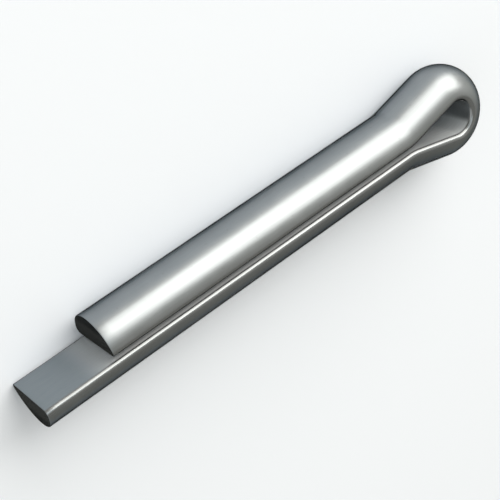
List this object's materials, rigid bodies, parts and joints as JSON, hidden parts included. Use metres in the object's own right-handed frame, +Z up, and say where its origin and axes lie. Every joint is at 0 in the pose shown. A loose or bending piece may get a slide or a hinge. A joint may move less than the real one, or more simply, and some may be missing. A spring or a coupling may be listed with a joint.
{
  "type": "split pin",
  "caption": "Split pin folded from D-section steel wire, with a round eye and two unequal legs that lie flat to flat and spread to lock a clevis pin or castle nut.",
  "frame": {"origin": "middle of the box in X and Y, on the surface that the pin lies on", "axes": "+X along the pin from the tips to the eye, +Y from the long leg to the short leg, +Z up across the wire and along the eye's hole"},
  "size_m": [0.03, 0.0052, 0.0035],
  "materials": {
    "wire": "satin"
  },
  "bodies": {
    "root": {"split_pin": "wire"}
  },
  "joints": []
}
